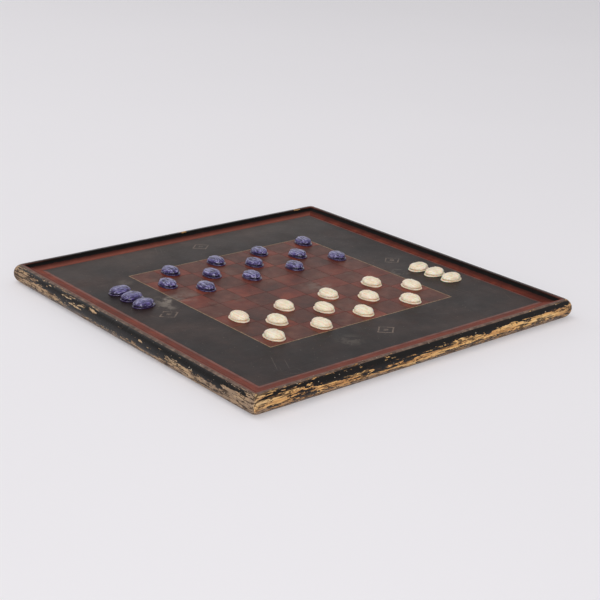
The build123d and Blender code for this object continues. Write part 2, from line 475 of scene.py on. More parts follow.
def make_panel_paint():
    """Black margin, red and brown-grey squares, gilt line, red edge band and bare underside."""
    g = Graph("panel_paint")
    wobble = g.times(g.less(g.noise(60.0, 2.0), 0.5), 0.9 * MM)
    x = g.add(g.x, wobble)
    y = g.less(g.y, wobble)
    wide = g.sum("MAXIMUM", g.size_of(x), g.size_of(y))
    mottle = g.noise(95.0, 4.0, 0.7)

    black, streak = margin_black(g, mottle)
    inside = g.fall(wide, grid_half - 0.1 * MM, grid_half + 0.1 * MM)
    colour = g.mix(inside, black, painted_squares(g, x, y))
    line, emblem, gilt = gilt_marks(g, x, y, wide)
    colour = g.mix(line, colour, gilt, 0.85)
    colour = g.mix(emblem, colour, (146, 126, 112), 0.55)
    # painted sheen: the back of the margin is painted paler, standing in for the sheen it catches
    # from the light behind
    back_sheen = g.rise(y, 150 * MM, 235 * MM, 0.10)  # the back of the margin is paler
    colour = g.mix(back_sheen, colour, (150, 138, 130))
    colour = lay_edge_band(g, colour, x, y, wide, mottle)
    colour, light = lay_scuffs(g, colour)

    # the underside and the edges under the paint are bare
    wood, grain = old_wood(g)
    wood = g.mix(0.45, wood, (92, 66, 44))
    top = g.rise(g.z, field_level - 1.2 * MM, field_level - 0.5 * MM)
    colour = g.mix(top, wood, colour)

    rough = g.add(0.36, g.times(g.noise(30.0, 4.0, 0.6), 0.2))
    rough = g.add(rough, g.times(g.less(1.0, top), 0.3))
    raised = g.sum("MAXIMUM", line, emblem)
    normal = g.bump(
        (streak, 0.5 * MM, 0.12),
        (g.noise(260.0, 4.0, 0.6), 0.2 * MM, 0.3),
        (raised, 0.06 * MM, 0.5),
        (light, 0.05 * MM, -0.6),
        (grain, 0.3 * MM, 0.15),
    )
    return g.finish(colour, rough, normal, Specular_IOR_Level=0.22)


def rim_black(g, coarse):
    """Gloss black, dusty towards the table."""
    black = g.ramp(coarse, (0.3, 9, 7, 6), (0.55, 14, 10, 9), (0.8, 27, 20, 17))
    black = g.brightness(black, g.add(0.8, g.times(g.noise(300.0, 3.0), 0.4)))
    dust = g.rise(g.noise(60.0, 5.0, 0.7), 0.36, 0.62, 0.8)
    return g.mix(g.times(dust, g.fall(g.z, 5 * MM, 11 * MM)), black, (124, 104, 90))


def lay_rim_red(g, black, wide, near, coarse):
    """Red up to the foot of the steep wall, with a ragged upper edge; the outer face has none."""
    ragged = g.add(wide, g.times(g.less(g.noise(130.0, 3.0), 0.5), 2.6 * MM))
    red_share = g.fall(ragged, cove_top.x - 1.6 * MM, cove_top.x + 0.2 * MM)
    red = red_paint(g)
    far = g.less(1.0, near)
    # painted shade: on the far sides the red slope is painted darker towards the steep wall
    far_cove_shade = g.rise(ragged, panel_half + 2.0 * MM, cove_top.x - 1.5 * MM, 0.85)
    red = g.mix(g.times(far_cove_shade, far), red, (50, 19, 15))
    # painted shade: a dark line at the joint with the panel on the near sides, for the shadow in the
    # gap
    joint_shade = g.fall(g.less(wide, panel_half), 0.1 * MM, 0.7 * MM)
    # painted light and shade: the red is painted darker on the far sides and paler at the back and
    # on the near sides, for how the light falls on each side
    red = g.mix(far, red, (70, 36, 30), 0.4)
    on_back = g.fall(g.less(g.size_of(g.x), g.y), -1 * MM, 1 * MM)
    back_painted_light = g.times(g.fall(wide, panel_half, cove_top.x), 0.75)
    red = g.mix(g.times(on_back, back_painted_light), red, (134, 78, 66))
    red = g.mix(near, red, (132, 84, 74), 0.45)
    red = g.mix(g.times(joint_shade, g.times(near, 0.3)), red, (60, 28, 22))
    paint = g.mix(red_share, black, red)

    # on the near sides the wall's lip is red too, with a pale line where the slope meets the wall
    inside_lip = g.fall(g.add(g.x, g.y), -20 * MM, -6 * MM)
    high = g.rise(g.z, cove_top.y - 0.8 * MM, cove_top.y + 0.7 * MM)
    lip = g.times(high, g.fall(wide, crest_edge - 3 * MM, crest_edge))
    paint = g.mix(g.times(lip, inside_lip), paint, (122, 64, 54), 0.9)
    line = g.fall(g.size_of(g.less(g.z, cove_top.y + 0.1 * MM)), 0.3 * MM, 1.0 * MM)
    line = g.times(g.times(line, near), g.rise(coarse, 0.36, 0.6, 0.5))
    return g.mix(g.times(line, red_share), paint, (166, 122, 108))


def lay_crest(g, paint, wide, along):
    """The crest, rubbed through to a dirty grey-brown, and how far it is rubbed; on the near sides
    the rub is also a painted sheen.
    """
    on_crest = g.times(
        g.rise(wide, wall_top.x - 2.6 * MM, wall_top.x - 0.6 * MM),
        g.rise(g.z, board_height - 1.3 * MM, board_height - 0.7 * MM),
    )
    rub_and_sheen = g.rise(g.noise(46.0, 5.0, 0.7, g.stretched(*grain_stretch[along])), 0.26, 0.5)
    rub_and_sheen = g.times(g.times(on_crest, rub_and_sheen), g.attribute("rubbed"))
    crest = g.ramp(
        g.noise(120.0, 5.0, 0.7), (0.32, 70, 52, 44), (0.5, 112, 90, 78),
        (0.68, 146, 122, 106),
    )
    reddish = g.fall(wide, wall_top.x + 1.5 * MM, crest_edge + 1.0 * MM)
    crest = g.mix(reddish, crest, (122, 64, 52), 0.9)
    return g.mix(rub_and_sheen, paint, crest, 0.88), rub_and_sheen


def rim_wood(g, along, greyness):
    """The rim's bare wood, with its grime, pits and cracks, and its grain."""
    wood, grain = old_wood(g, along)
    grey = g.brightness((176, 156, 132), g.add(0.5, grain))
    wood = g.mix(greyness, wood, grey)
    dirt = g.rise(g.noise(60.0, 6.0, 0.75), 0.50, 0.66, 0.35)
    dirt = g.sum("MINIMUM", g.add(dirt, g.attribute("grime")), 0.9)
    mud = g.brightness((142, 120, 100), g.add(0.3, g.times(g.noise(460.0, 5.0, 0.8), 1.4)))
    wood = g.mix(dirt, wood, mud)
    pits = g.rise(g.noise(340.0, 5.0, 0.72, g.stretched(*pit_stretch[along])), 0.52, 0.57)
    wood = g.mix(pits, wood, (40, 28, 22), 0.85)
    cracks = g.noise(560.0, 2.0, 0.5, g.stretched(*grain_stretch[along]))
    wood = g.mix(g.rise(cracks, 0.54, 0.62, 0.85), wood, (44, 28, 20))
    return wood, grain


def make_rim_paint(along, greyness):
    """Gloss black over wood, flaked by the mesh's own flake field, with the red band inside."""
    g = Graph(f"rim_paint_along_{along}")
    wide = g.sum("MAXIMUM", g.size_of(g.x), g.size_of(g.y))
    near = g.fall(g.add(g.x, g.y), -2 * MM, 2 * MM)
    coarse = g.noise(34.0, 4.0, 0.6)
    paint = lay_rim_red(g, rim_black(g, coarse), wide, near, coarse)
    paint, rub_and_sheen = lay_crest(g, paint, wide, along)

    # bare wood where the paint has flaked, edged by a line of brown undercoat
    torn = g.times(g.less(g.noise(520.0, 5.0, 0.7), 0.5), 0.24)
    ragged_flake = g.add(g.attribute("flake"), torn)
    bare = g.rise(ragged_flake, 0.50, 0.515)
    undercoat = g.rise(ragged_flake, 0.45, 0.47)
    wood, grain = rim_wood(g, along, greyness)
    colour = g.mix(undercoat, paint, (52, 32, 24), 0.85)
    colour = g.mix(bare, colour, wood)

    # small pale chips
    chips = g.rise(g.noise(360.0, 1.0, 0.3), 0.77, 0.785)
    chips = g.times(chips, g.rise(wide, wall_top.x, crest_edge))
    colour = g.mix(chips, colour, (200, 184, 162))

    # the underside was never painted
    below = g.fall(g.z, 0.25 * MM, 0.8 * MM)
    plain, _ = old_wood(g, along)
    colour = g.mix(below, colour, g.mix(0.5, plain, (84, 62, 44)))

    # the inner slope is duller than the outer face, and bare wood is the dullest
    open_wood = g.sum("MAXIMUM", g.sum("MAXIMUM", bare, below), g.times(rub_and_sheen, 0.7))
    rough = g.add(0.22, g.times(g.noise(90.0, 3.0), 0.14))
    inner = g.fall(wide, wall_top.x, crest_edge - 1.5 * MM)
    rough = g.add(rough, g.times(inner, 0.4))
    rough = g.add(rough, g.times(open_wood, 0.4))
    shine = g.less(0.28, g.times(inner, 0.2))
    normal = g.bump(
        (g.noise(210.0, 4.0, 0.6), 0.25 * MM, 0.3),
        (g.times(grain, open_wood), 0.4 * MM, 0.6),
        (bare, 0.15 * MM, -0.6),
        (chips, 0.15 * MM, -0.6),
    )
    return g.finish(colour, rough, normal, Specular_IOR_Level=shine)


def make_hidden_wood():
    """Plain wood, for the splines and keys."""
    g = Graph("bare_wood")
    wood, grain = old_wood(g)
    return g.finish(wood, 0.7, g.bump((grain, 0.3 * MM, 0.4)))


def make_brad_steel():
    """Dull drawn steel with rust on it."""
    g = Graph("brad_steel")
    drawn = g.noise(900.0, 4.0, 0.6)
    rust = g.rise(g.noise(500.0, 4.0, 0.7), 0.48, 0.62, 0.8)
    steel = g.ramp(drawn, (0.3, 92, 88, 84), (0.7, 140, 136, 130))
    colour = g.mix(rust, steel, (96, 52, 30))
    rough = g.add(0.35, g.times(rust, 0.4))
    return g.finish(colour, rough, g.bump((drawn, 0.05 * MM, 0.4)), Metallic=0.8)


def make_indigo():
    """Indigo glaze: deep violet in the cuts and darker on the flanks and at the foot as painted
    shade, paler and bluer on top with pale streaks and specks as painted highlights.
    """
    g = Graph("indigo_glaze")
    cut = g.attribute("cut")
    high = g.attribute("high")
    cloud = g.noise(150.0, 5.0, 0.65)
    body = g.ramp(cloud, (0.3, 42, 22, 86), (0.5, 62, 42, 114), (0.75, 94, 80, 148))
    # painted highlight: the top of the back is painted paler and bluer
    body = g.mix(g.rise(high, 0.6, 0.98), body, (122, 122, 166), 0.5)
    # painted shade: the lower sides of the back are painted darker
    flank_shade = g.fall(high, 0.20, 0.62)
    body = g.mix(flank_shade, body, (38, 18, 76), 0.6)
    streak = g.attribute("streak")
    # painted highlight and shade: the streaks' ridges are painted pale and their troughs dark
    body = g.mix(g.rise(streak, 0.53, 0.67, 0.6), body, (172, 168, 208))
    body = g.mix(g.fall(streak, 0.34, 0.46), body, (32, 18, 66))
    # painted shade: the foot of the piece is painted dark
    low = g.fall(high, 0.0, 0.10)
    colour = g.mix(low, body, (40, 16, 62), 0.75)
    # painted shade: the groove and the carved lines are painted near black
    colour = g.mix(cut, colour, (18, 7, 32), 0.92)
    # painted glints: small pale lilac specks
    specks = g.rise(g.noise(800.0, 2.0, 0.5), 0.64, 0.72)
    colour = g.mix(specks, colour, (160, 158, 196), 0.5)
    rough = g.add(0.20, g.times(g.noise(260.0, 4.0, 0.6), 0.26))
    normal = g.bump((g.noise(480.0, 4.0, 0.65), 0.2 * MM, 0.35), (cloud, 0.4 * MM, 0.25))
    return g.finish(colour, rough, normal, Coat_Weight=0.5, Coat_Roughness=0.1)


def make_cream():
    """Cream glaze: warm in the cuts as painted shade, pinkish at the foot as a painted reflection of
    the red board, with faint brown specks.
    """
    g = Graph("cream_glaze")
    cut = g.attribute("cut")
    high = g.attribute("high")
    cloud = g.noise(110.0, 5.0, 0.6)
    body = g.ramp(cloud, (0.3, 238, 222, 194), (0.55, 247, 236, 213), (0.8, 250, 243, 226))
    # painted reflection: the foot is painted pinkish, for the red board's light on it
    low = g.fall(high, 0.0, 0.08)
    colour = g.mix(low, body, (240, 208, 186), 0.3)
    # painted shade: the groove and the carved lines are painted warm tan
    colour = g.mix(cut, colour, (206, 164, 120), 0.4)
    thin = g.fall(g.attribute("streak"), 0.36, 0.44)
    colour = g.mix(thin, colour, (222, 190, 148), 0.4)
    specks = g.rise(g.noise(700.0, 2.0, 0.5), 0.68, 0.76)
    colour = g.mix(specks, colour, (196, 158, 112), 0.3)
    rough = g.add(0.30, g.times(g.noise(240.0, 4.0, 0.6), 0.2))
    normal = g.bump((g.noise(380.0, 4.0, 0.6), 0.2 * MM, 0.5), (cloud, 0.3 * MM, 0.3))
    return g.finish(
        colour,
        rough,
        normal,
        Subsurface_Weight=0.25,
        Subsurface_Scale=0.003,
        Coat_Weight=0.12,
        Coat_Roughness=0.25,
    )


# ---- rim mouldings ----


def arc_between(start, end, sag, count):
    """Points of a shallow arc that hangs below the chord by the sag; the last one is left out."""
    chord = end - start
    across = Vector((chord.y, -chord.x)).normalized()
    for step in range(count):
        t = step / count
        yield start + chord * t + across * (4 * sag * t * (1 - t))


def rim_section():
    """The moulding's closed outline, as (distance from the centre, height) points."""
    # the red slope, the steep wall and the crest
    quirk = Vector((panel_half, quirk_top))
    points = list(arc_between(quirk, cove_top, 0.5 * MM, 12))
    points += list(arc_between(cove_top, wall_top, 0.6 * MM, 9))
    crest = Vector((crest_edge, board_height))
    crest_steps = 5
    for step in range(crest_steps):
        t = step / crest_steps
        lift = wall_top.y + (crest.y - wall_top.y) * (1 - (1 - t) ** 2)
        points.append(Vector((wall_top.x + (crest.x - wall_top.x) * t, lift)))

    # the rounded outer face
    nose_steps = 44
    for step in range(nose_steps + 1):
        angle = math.pi / 2 - math.pi * step / nose_steps
        across = crest_edge + nose_depth * math.cos(angle)
        points.append(Vector((across, board_height / 2 * (1 + math.sin(angle)))))

    # the underside with its small inner chamfer, and the groove for the panel's tongue
    inner = panel_half
    chamfer = 1 * MM
    flat_steps = 6
    for step in range(1, flat_steps + 1):
        across = crest_edge + (inner + chamfer - crest_edge) * step / flat_steps
        points.append(Vector((across, 0.0)))
    for height in (chamfer, tongue_base / 2, tongue_base):
        points.append(Vector((inner, height)))
    points.append(Vector((groove_floor, tongue_base)))
    points.append(Vector((groove_floor, tongue_top)))
    for height in (tongue_top, (tongue_top + quirk_top) / 2):
        points.append(Vector((inner, height)))
    return points


STATIONS = 420  # steps along a moulding
CORNER_WEAR = 2.9 * MM  # how far the outer corners have worn back
MITRE_GAP = 0.04 * MM  # between a worn moulding and the mitre's plane

# How each side has worn. Seen from outside, "along" runs from the side's left end to its right end,
# from -266.7 to 266.7 mm. A patch is (middle along, half its length, middle height, half its
# height, strength), all but the strength in mm; a negative strength is paint that has held.
side_wear = {
    "rim_right_front": dict(
        seed=11,
        base=-0.17,
        rubbed=1.0,
        grime=0.0,
        patches=(
            (0, 262, 5.0, 3.4, 0.22), (-240, 26, 11.0, 8.0, 0.24), (-222, 25, 18.5, 2.8, 0.28),
            (-172, 44, 12.0, 4.2, 0.34), (-128, 22, 10.5, 3.0, 0.28), (-70, 80, 8.5, 1.8, 0.30),
            (-110, 24, 15.0, 1.2, 0.34), (-10, 90, 13.5, 1.0, 0.26), (18, 55, 16.5, 1.2, 0.32),
            (25, 70, 11.5, 2.0, 0.30), (95, 48, 13.0, 4.4, 0.30), (190, 78, 13.5, 4.6, 0.50),
            (110, 165, 22.3, 2.0, -0.30), (-60, 70, 19.0, 3.6, -0.10),
        ),
    ),
    "rim_left_front": dict(
        seed=23,
        base=-0.19,
        rubbed=1.0,
        grime=0.22,
        patches=(
            (0, 262, 4.5, 3.0, 0.16), (-248, 24, 13.0, 8.5, 0.52), (-194, 58, 10.5, 4.0, 0.60),
            (-226, 28, 18.5, 2.4, 0.24), (-119, 9, 20.0, 1.6, 0.42), (-89, 7, 19.0, 1.2, 0.40),
            (-59, 11, 20.5, 1.4, 0.42), (-77, 8, 7.0, 1.6, 0.40), (33, 6, 11.0, 1.3, 0.42),
            (47, 5, 17.0, 1.4, 0.44), (65, 6, 14.5, 1.3, 0.42), (70, 70, 7.0, 2.0, 0.26),
            (130, 28, 12.5, 2.4, 0.31), (195, 78, 9.0, 5.4, 0.38), (243, 26, 13.5, 8.0, 0.34),
            (215, 9, 18.0, 2.0, 0.34), (120, 150, 21.5, 2.2, -0.2),
        ),
    ),
    "rim_right_back": dict(
        seed=37,
        base=-0.17,
        rubbed=0.08,
        grime=0.1,
        patches=(
            (-225, 45, 11.0, 5.0, 0.34), (-60, 60, 8.0, 1.8, 0.28), (70, 40, 13.0, 2.2, 0.28),
            (190, 60, 9.0, 4.0, 0.33), (0, 200, 21.5, 2.4, -0.2),
        ),
    ),
    "rim_left_back": dict(
        seed=53,
        base=-0.17,
        rubbed=0.0,
        grime=0.1,
        patches=(
            (-200, 60, 9.5, 4.2, 0.33), (-20, 70, 6.5, 1.6, 0.28), (95, 40, 12.0, 2.0, 0.28),
            (225, 40, 11.0, 5.0, 0.33), (-9, 6, 24.7, 0.7, 0.85), (-226, 7, 24.7, 0.7, 0.85),
            (0, 200, 21.5, 2.4, -0.2),
        ),
    ),
}
side_turns = {
    "rim_right_back": 0,
    "rim_left_back": 90,
    "rim_left_front": 180,
    "rim_right_front": 270,
}


def to_corner(along):
    """How far each point is from the nearer end of its side."""
    return np.maximum(board_half - np.abs(along), 0)


def scaled(along, wide, tall, length, depth):
    """The points in units of a noise's cell: its length along the side and its depth across."""
    return np.stack([along / length, wide / depth, tall / depth], axis=1)


def flake_field(name, along, wide, height):
    """How far the paint has gone at each point: above a half, the wood is bare."""
    wear = side_wear[name]
    noise = Noise(wear["seed"])
    level = (height - board_height / 2) / (board_height / 2)
    around = np.arctan2(level, (wide - crest_edge) / nose_depth) * nose_radius

    def layer(length, depth, shift):
        places = np.stack([along / length, around / depth, np.full_like(along, shift)], axis=1)
        return noise.fractal(places, 3)

    field = 0.26 * layer(34 * MM, 3.0 * MM, 1.5)
    field += 0.42 * layer(17 * MM, 1.1 * MM, 21.5)
    field += 0.32 * layer(5.0 * MM, 1.0 * MM, 41.5)
    field = 0.5 + (field - 0.5) * 2.4

    outer = smooth(wide, crest_edge - 1 * MM, crest_edge + 2 * MM)
    corner = to_corner(along)
    ends = 0.75 * np.exp(-((corner / (8 * MM)) ** 2)) + 0.16 * np.exp(-corner / (30 * MM))
    foot = smooth(-height, -3.0 * MM, -1.2 * MM)
    bias = wear["base"] + ends - 0.22 * foot
    field = field + bias * outer - (1 - outer) * 0.5

    # knocks reach the crest and the outer face, and never the slope inside
    reached = smooth(wide, wall_top.x - 2 * MM, wall_top.x + 0.5 * MM)
    for middle, half_length, level, half_height, strength in wear["patches"]:
        share = np.exp(-(((along - middle * MM) / (half_length * MM)) ** 4))
        share *= np.exp(-np.abs((height - level * MM) / (half_height * MM)) ** 2.5)
        field += strength * share * reached
    return field


def grime_field(name, along, wide, height):
    """How dirty the bare wood is: more at the corners, near the table and to the right."""
    noise = Noise(side_wear[name]["seed"] + 9)
    grime = side_wear[name]["grime"] + 0.45 * np.exp(-to_corner(along) / (28 * MM))
    grime += 0.8 * smooth(-height, -9.5 * MM, -5 * MM)
    grime += 2.5 * side_wear[name]["grime"] * smooth(along, 90 * MM, 190 * MM)
    places = scaled(along, wide, height, 12 * MM, 4 * MM)
    return grime * (0.35 + smooth(noise.fractal(places, 3), 0.35, 0.62))


def worn_depth(name, flake, along, wide, tall):
    """How deep the surface has worn: flaked wood and its fibres, waves, dents, battered ends."""
    noise = Noise(side_wear[name]["seed"] + 5)
    bare = smooth(flake, 0.49, 0.53)
    waves = noise.fractal(scaled(along, wide, tall, 30 * MM, 6 * MM), 3) - 0.5
    fibre = noise.fractal(scaled(along, wide, tall, 12 * MM, 0.9 * MM), 2) - 0.5
    corner = np.exp(-to_corner(along) / (7 * MM))
    dents = smooth(noise.one(scaled(along, wide, tall, 8 * MM, 4 * MM) + 30), 0.84, 0.95)
    depth = 0.22 * MM * bare + bare * fibre * 0.22 * MM + 0.30 * MM * waves
    depth += 0.45 * MM * dents * (0.3 + 0.7 * bare) + 0.5 * MM * corner * (waves + 0.45)

    # the slope inside and the flat underneath have kept their shape
    outer = smooth(wide, crest_edge - 4 * MM, crest_edge) * smooth(tall, 0.3 * MM, 1.2 * MM)
    crest = smooth(tall, board_height - 0.8 * MM, board_height - 0.2 * MM)
    return depth * np.maximum(outer, crest)


def round_corners(points):
    """Wears the sharp vertical corners of the outer face back to a smooth curve."""
    level = np.clip((points[:, 2] - board_height / 2) / (board_height / 2), -1.0, 1.0)
    side = crest_edge + nose_depth * np.sqrt(1 - level**2)
    outward = (points[:, 0] + np.abs(points[:, 1])) / math.sqrt(2)
    sideways = (points[:, 0] - np.abs(points[:, 1])) / math.sqrt(2)
    curve = sideways**2 / (4 * CORNER_WEAR)
    limit = math.sqrt(2) * side - CORNER_WEAR - curve
    past = (outward > limit) & (np.abs(sideways) < 2 * CORNER_WEAR)
    shift = (outward[past] - limit[past]) / math.sqrt(2)
    points[past, 0] -= shift
    points[past, 1] -= np.sign(points[past, 1]) * shift


def keep_clear_of_mitres(points):
    """Holds every point on its own side of the two mitre planes."""
    over = np.abs(points[:, 1]) - points[:, 0] > -MITRE_GAP
    points[over, 1] = np.sign(points[over, 1]) * (points[over, 0] - MITRE_GAP)


def brad_centres(name):
    """Where the brads' heads sit under one moulding, with that moulding turned to face +X."""
    places = points_of(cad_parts["rim_brads"].data)
    turn = Matrix.Rotation(-math.radians(side_turns[name]), 3, "Z")
    places = places @ np.array(turn).T
    heads = places[(places[:, 2] < 1.5 * MM) & (places[:, 0] > panel_half)]
    groups = []
    for y in sorted(heads[:, 1]):
        if not groups or y - groups[-1][-1] > 10 * MM:
            groups.append([y])
        groups[-1].append(y)
    x = (heads[:, 0].min() + heads[:, 0].max()) / 2
    return [(x, (min(group) + max(group)) / 2) for group in groups]


def brad_cutter(name):
    """Short round plugs where the brads' heads sit under one moulding, as one mesh."""
    vertices = []
    faces = []
    sides = 24
    radius = 1.35 * MM
    for x, y in brad_centres(name):
        first = len(vertices)
        for z in (-1.0 * MM, 1.3 * MM):
            for step in range(sides):
                angle = 2 * math.pi * step / sides
                vertices.append((x + radius * math.cos(angle), y + radius * math.sin(angle), z))
        faces.append([first + i for i in reversed(range(sides))])
        faces.append([first + sides + i for i in range(sides)])
        for i in range(sides):
            j = (i + 1) % sides
            faces.append([first + i, first + j, first + sides + j, first + sides + i])
    return new_object(f"{name}_cutter", vertices, faces)


def swept_rim(name):
    """One moulding as it was new, facing +X: its section swept along Y and mitred."""
    section = rim_section()
    count = len(section)
    across = np.array([p.x for p in section])
    height = np.array([p.y for p in section])

    # stations are closer near the mitres, where the wear is finest
    t = np.linspace(-1, 1, STATIONS + 1)
    t = 0.6 * t + 0.4 * np.sin(t * math.pi / 2)
    vertices = np.zeros((len(t), count, 3))
    vertices[:, :, 0] = across
    vertices[:, :, 1] = t[:, None] * across
    vertices[:, :, 2] = height
    faces = []
    for i in range(len(t) - 1):
        a = i * count
        b = a + count
        for j in range(count):
            k = (j + 1) % count
            faces.append([a + j, a + k, b + k, b + j])
    last = (len(t) - 1) * count
    faces.append(list(reversed(range(count))))
    faces.append([last + j for j in range(count)])
    return new_object(f"{name}_worn", vertices.reshape(-1, 3), faces)


def bore_brad_holes(rim, name):
    """Cuts the brads' recesses out of the underside."""
    cutter = brad_cutter(name)
    holes = rim.modifiers.new("brad_holes", "BOOLEAN")
    holes.object = cutter
    holes.operation = "DIFFERENCE"
    holes.solver = "EXACT"
    graph = bpy.context.evaluated_depsgraph_get()
    bored = bpy.data.meshes.new_from_object(rim.evaluated_get(graph))
    rim.modifiers.clear()
    rim.data = bored
    bpy.data.objects.remove(cutter)


def make_rim(name, material):
    """One worn moulding in place of its CAD node."""
    rim = swept_rim(name)
    bore_brad_holes(rim, name)

    points = points_of(rim.data)
    normals = vectors_of(rim.data.vertex_normals, "vector")
    wide, along, tall = points.T.copy()
    flake = flake_field(name, along, wide, tall)
    points -= normals * worn_depth(name, flake, along, wide, tall)[:, None]
    points[:, 0] = np.minimum(points[:, 0], board_half)
    points[:, 2] = np.clip(points[:, 2], 0.0, board_height)
    round_corners(points)
    keep_clear_of_mitres(points)
    rim.data.vertices.foreach_set("co", points.astype(np.float32).ravel())

    # the crest's rub is worn wood and, on the near sides, painted sheen as well
    rubbed = side_wear[name]["rubbed"] + np.exp(-to_corner(along) / (25 * MM))
    set_attribute(rim.data, "flake", flake)
    set_attribute(rim.data, "grime", grime_field(name, along, wide, tall))
    set_attribute(rim.data, "rubbed", np.minimum(rubbed, 1.0))
    rim.data.shade_smooth()
    rim.data.set_sharp_from_angle(angle=math.radians(38))
    rim.data.transform(Matrix.Rotation(math.radians(side_turns[name]), 4, "Z"))
    rim.data.update()
    dress(rim, material)
    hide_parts(name)
    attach(rim, "board")


# ---- beetle pieces ----

# A piece is worked out in millimetres in its own frame, with its head towards +X, standing on Z = 0.
BEETLE_LENGTH = 31.5
BEETLE_WIDTH = 22.0
BACK_HEIGHT = 10.0  # of the back before it is carved and worn
PLATE_HEIGHT = 1.7  # of the base plate's top, where the groove round the piece begins
AROUND = 128  # points round a piece
LEG_ANGLES = (62, 92, 122)  # degrees from the head, on both sides


def folded(angle):
    """The angle from the head, the same on both sides."""
    return np.abs(np.arctan2(np.sin(angle), np.cos(angle)))


def beetle_outline(angle, rng):
    """Distance from the middle to the base plate's edge, for each angle."""
    power = 2.3
    reach = (
        np.abs(np.cos(angle) / (BEETLE_LENGTH / 2)) ** power
        + np.abs(np.sin(angle) / (BEETLE_WIDTH / 2)) ** power
    ) ** (-1 / power)
    shoulder = 0.035 * bump_at(folded(angle), math.radians(30), math.radians(9))
    rump = 0.030 * bump_at(folded(angle), math.radians(150), math.radians(10))
    wave = 0.0
    for size, waves in ((0.008, 3), (0.008, 5), (0.006, 8)):
        wave = wave + size * np.sin(waves * angle + rng.uniform(0, 6.3))
    return np.minimum(reach * (1 - shoulder - rump + wave), reach * 1.006)


def carved(x, y):
    """Depth of the lines cut in the back."""
    wings = smooth(6.4 - x, 0.0, 1.2)
    cut = 0.36 * bump_at(x - 7.2 + 0.022 * y * y, 0.0, 0.55)
    parting = 0.36 + 0.6 * smooth(-x, 8.0, 14.0)  # the wings part towards their tips
    cut = np.maximum(cut, parting * bump_at(y, 0.0, 0.42 + 0.3 * smooth(-x, 9.0, 15.0)) * wings)
    for share, depth in ((0.34, 0.24), (0.72, 0.42)):
        bow = share * 10.2 * np.sqrt(np.clip(1 - ((x + 1.0) / 14.8) ** 2, 0.0, 1.0))
        cut = np.maximum(cut, depth * bump_at(np.abs(y), bow, 0.5) * wings)
    head = bump_at(np.hypot(x - 15.6, y * 0.8), 4.6, 0.5)
    return np.maximum(cut, 0.34 * head * smooth(x, 9.6, 10.4))


def beetle_rings(outline, angle):
    """Rings from the middle of the underside, out and up to the middle of the back.

    Each is (distance from the middle, height, how deep in a cut), for every angle.
    """
    head = smooth(np.cos(angle), 0.12, 0.82)
    tail = smooth(-np.cos(angle), 0.30, 0.92)
    leg = sum(bump_at(folded(angle), math.radians(a), math.radians(5)) for a in LEG_ANGLES)
    lip = 3.0 + 1.3 * head + 0.9 * tail  # height of the groove's upper edge
    bite = 1.3 + 3.2 * head + 2.2 * tail - 0.8 * leg  # how deep the groove is
    eave = 0.10 + 1.6 * head**2 + 0.9 * tail**2  # how far the back stands in from the plate
    bluntness = 0.66 - 0.22 * head  # the head's end is the steepest
    # the groove's darkness is painted shade: deepest at the head and tail, lighter at the legs
    groove_shade = 0.7 + 0.3 * np.maximum(head, tail) - 0.3 * leg  # how dark the groove is
    none = np.zeros_like(angle)
    plate = PLATE_HEIGHT + none

    # the underside, then the base plate's rounded edge
    rings = [(outline * share, none, none) for share in (0.3, 0.6, 0.85)]
    flat_edge = ((0.7, 0.0), (0.25, 0.12), (0.04, 0.4), (0.0, 0.75))
    top_edge = ((0.03, 1.15), (0.14, 1.45), (0.38, 1.66))
    for inset, z in flat_edge + top_edge:
        rings.append((outline - inset, z + none, none))

    # into the groove along its floor, and out again under the eave
    groove_in = ((0.30, 0.02, 0.1), (0.65, 0.05, 0.5), (0.92, 0.16, 1.0))
    groove_out = ((1.0, 0.45, 1.0), (0.92, 0.8, 0.9))
    for share, rise, cut in groove_in + groove_out:
        rings.append((outline - 0.5 - bite * share, plate + rise * (lip - plate), cut * groove_shade))
    eaves = outline - eave
    rings.append(((outline - 0.5 - bite * 0.6 + eaves) / 2, lip - 0.1, 0.55 * groove_shade))

    # the domed back
    steps = 34
    for step in range(steps):
        share = math.cos(math.pi / 2 * step / steps)
        lift = math.sin(math.pi / 2 * step / steps)
        rise = lip + (BACK_HEIGHT - lip) * lift**0.9
        # the back's lowest ring, under the eave, gets a little painted shade
        rings.append((eaves * share**bluntness, rise, (0.25 if step == 0 else 0.0) + none))
    return rings


def ring_points(rings, angle):
    """Every ring's points with a middle point at each end, and how deep in a cut each one is."""
    points = [(0.0, 0.0, 0.0)]
    cuts = [0.0]
    for reach, height, cut in rings:
        for r, a, h, c in zip(reach, angle, height, cut):
            points.append((r * math.cos(a), r * math.sin(a), h))
            cuts.append(c)
    points.append((0.0, 0.0, BACK_HEIGHT))
    cuts.append(0.0)
    return np.array(points), np.array(cuts)


def ring_faces(ring_count):
    """Faces between the rings, with a fan about the middle point at each end."""
    last = 1 + ring_count * AROUND
    top = last - AROUND
    faces = []
    for i in range(AROUND):
        j = (i + 1) % AROUND
        faces.append([0, 1 + j, 1 + i])
        for ring in range(ring_count - 1):
            a = 1 + ring * AROUND
            b = a + AROUND
            faces.append([a + i, a + j, b + j, b + i])
        faces.append([top + i, top + j, last])
    return faces


